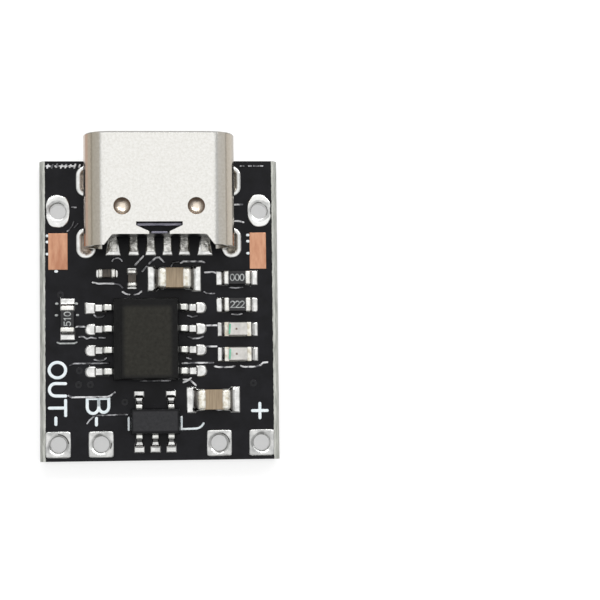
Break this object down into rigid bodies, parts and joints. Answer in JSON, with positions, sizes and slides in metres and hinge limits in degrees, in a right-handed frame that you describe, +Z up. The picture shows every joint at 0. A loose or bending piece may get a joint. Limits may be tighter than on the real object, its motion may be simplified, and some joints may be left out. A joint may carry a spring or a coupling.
{
  "type": "lithium battery charger module",
  "caption": "Small charger board for a lithium cell, with a USB-C socket at one edge, charger and protection chips, status LEDs and plated holes for soldered wires.",
  "frame": {"origin": "middle of the board's flat underside", "axes": "+Y along the board towards the socket's mouth, +Z up out of the component side, +X to the right"},
  "size_m": [0.0142, 0.0194, 0.0044],
  "materials": {
    "solder_mask": "satin black mask over glass-fibre laminate",
    "tin": "hot-air levelled tin",
    "solder": "bright solder",
    "bare_copper": "bare copper",
    "shell_steel": "satin nickel-plated steel",
    "socket_plastic": "moulded black plastic",
    "contact_metal": "gold-flashed contact metal",
    "package_plastic": "fine matt moulding compound",
    "lead_tin": "tinned lead",
    "end_cap_tin": "tinned end cap",
    "capacitor_ceramic": "sintered ceramic",
    "resistor_glaze": "black glaze on white ceramic",
    "led_base": "pale laminate",
    "led_lens": "clear moulded resin"
  },
  "bodies": {
    "root": {"battery_capacitor_body": "capacitor_ceramic", "battery_capacitor_end_caps": "end_cap_tin", "battery_negative_terminal": "tin", "battery_positive_terminal": "tin", "charge_led_base": "led_base", "charge_led_lens": "led_lens", "charge_led_terminals": "end_cap_tin", "charger_chip_body": "package_plastic", "charger_lead_1": "lead_tin", "charger_lead_2": "lead_tin", "charger_lead_3": "lead_tin", "charger_lead_4": "lead_tin", "charger_lead_5": "lead_tin", "charger_lead_6": "lead_tin", "charger_lead_7": "lead_tin", "charger_lead_8": "lead_tin", "component_lands": "tin", "front_left_leg_slot": "tin", "front_right_leg_slot": "tin", "input_capacitor_body": "capacitor_ceramic", "input_capacitor_end_caps": "end_cap_tin", "input_left_terminal": "tin", "input_right_terminal": "tin", "left_copper_land": "bare_copper", "left_filter_body": "capacitor_ceramic", "left_filter_end_caps": "end_cap_tin", "link_resistor_body": "resistor_glaze", "link_resistor_end_caps": "end_cap_tin", "output_negative_terminal": "tin", "output_positive_terminal": "tin", "printed_circuit_board": "solder_mask", "protection_chip_body": "package_plastic", "protection_lead_1": "lead_tin", "protection_lead_2": "lead_tin", "protection_lead_3": "lead_tin", "protection_lead_4": "lead_tin", "protection_lead_5": "lead_tin", "rear_left_leg_slot": "tin", "rear_right_leg_slot": "tin", "right_copper_land": "bare_copper", "right_filter_body": "capacitor_ceramic", "right_filter_end_caps": "end_cap_tin", "setting_resistor_body": "resistor_glaze", "setting_resistor_end_caps": "end_cap_tin", "solder_joints": "solder", "standby_led_base": "led_base", "standby_led_lens": "led_lens", "standby_led_terminals": "end_cap_tin", "supply_resistor_body": "resistor_glaze", "supply_resistor_end_caps": "end_cap_tin", "usb_insulator": "socket_plastic", "usb_left_ground_contact": "contact_metal", "usb_left_power_contact": "contact_metal", "usb_left_signal_contact": "contact_metal", "usb_right_ground_contact": "contact_metal", "usb_right_power_contact": "contact_metal", "usb_right_signal_contact": "contact_metal", "usb_shell": "shell_steel", "usb_tongue_plate": "shell_steel"}
  },
  "joints": []
}
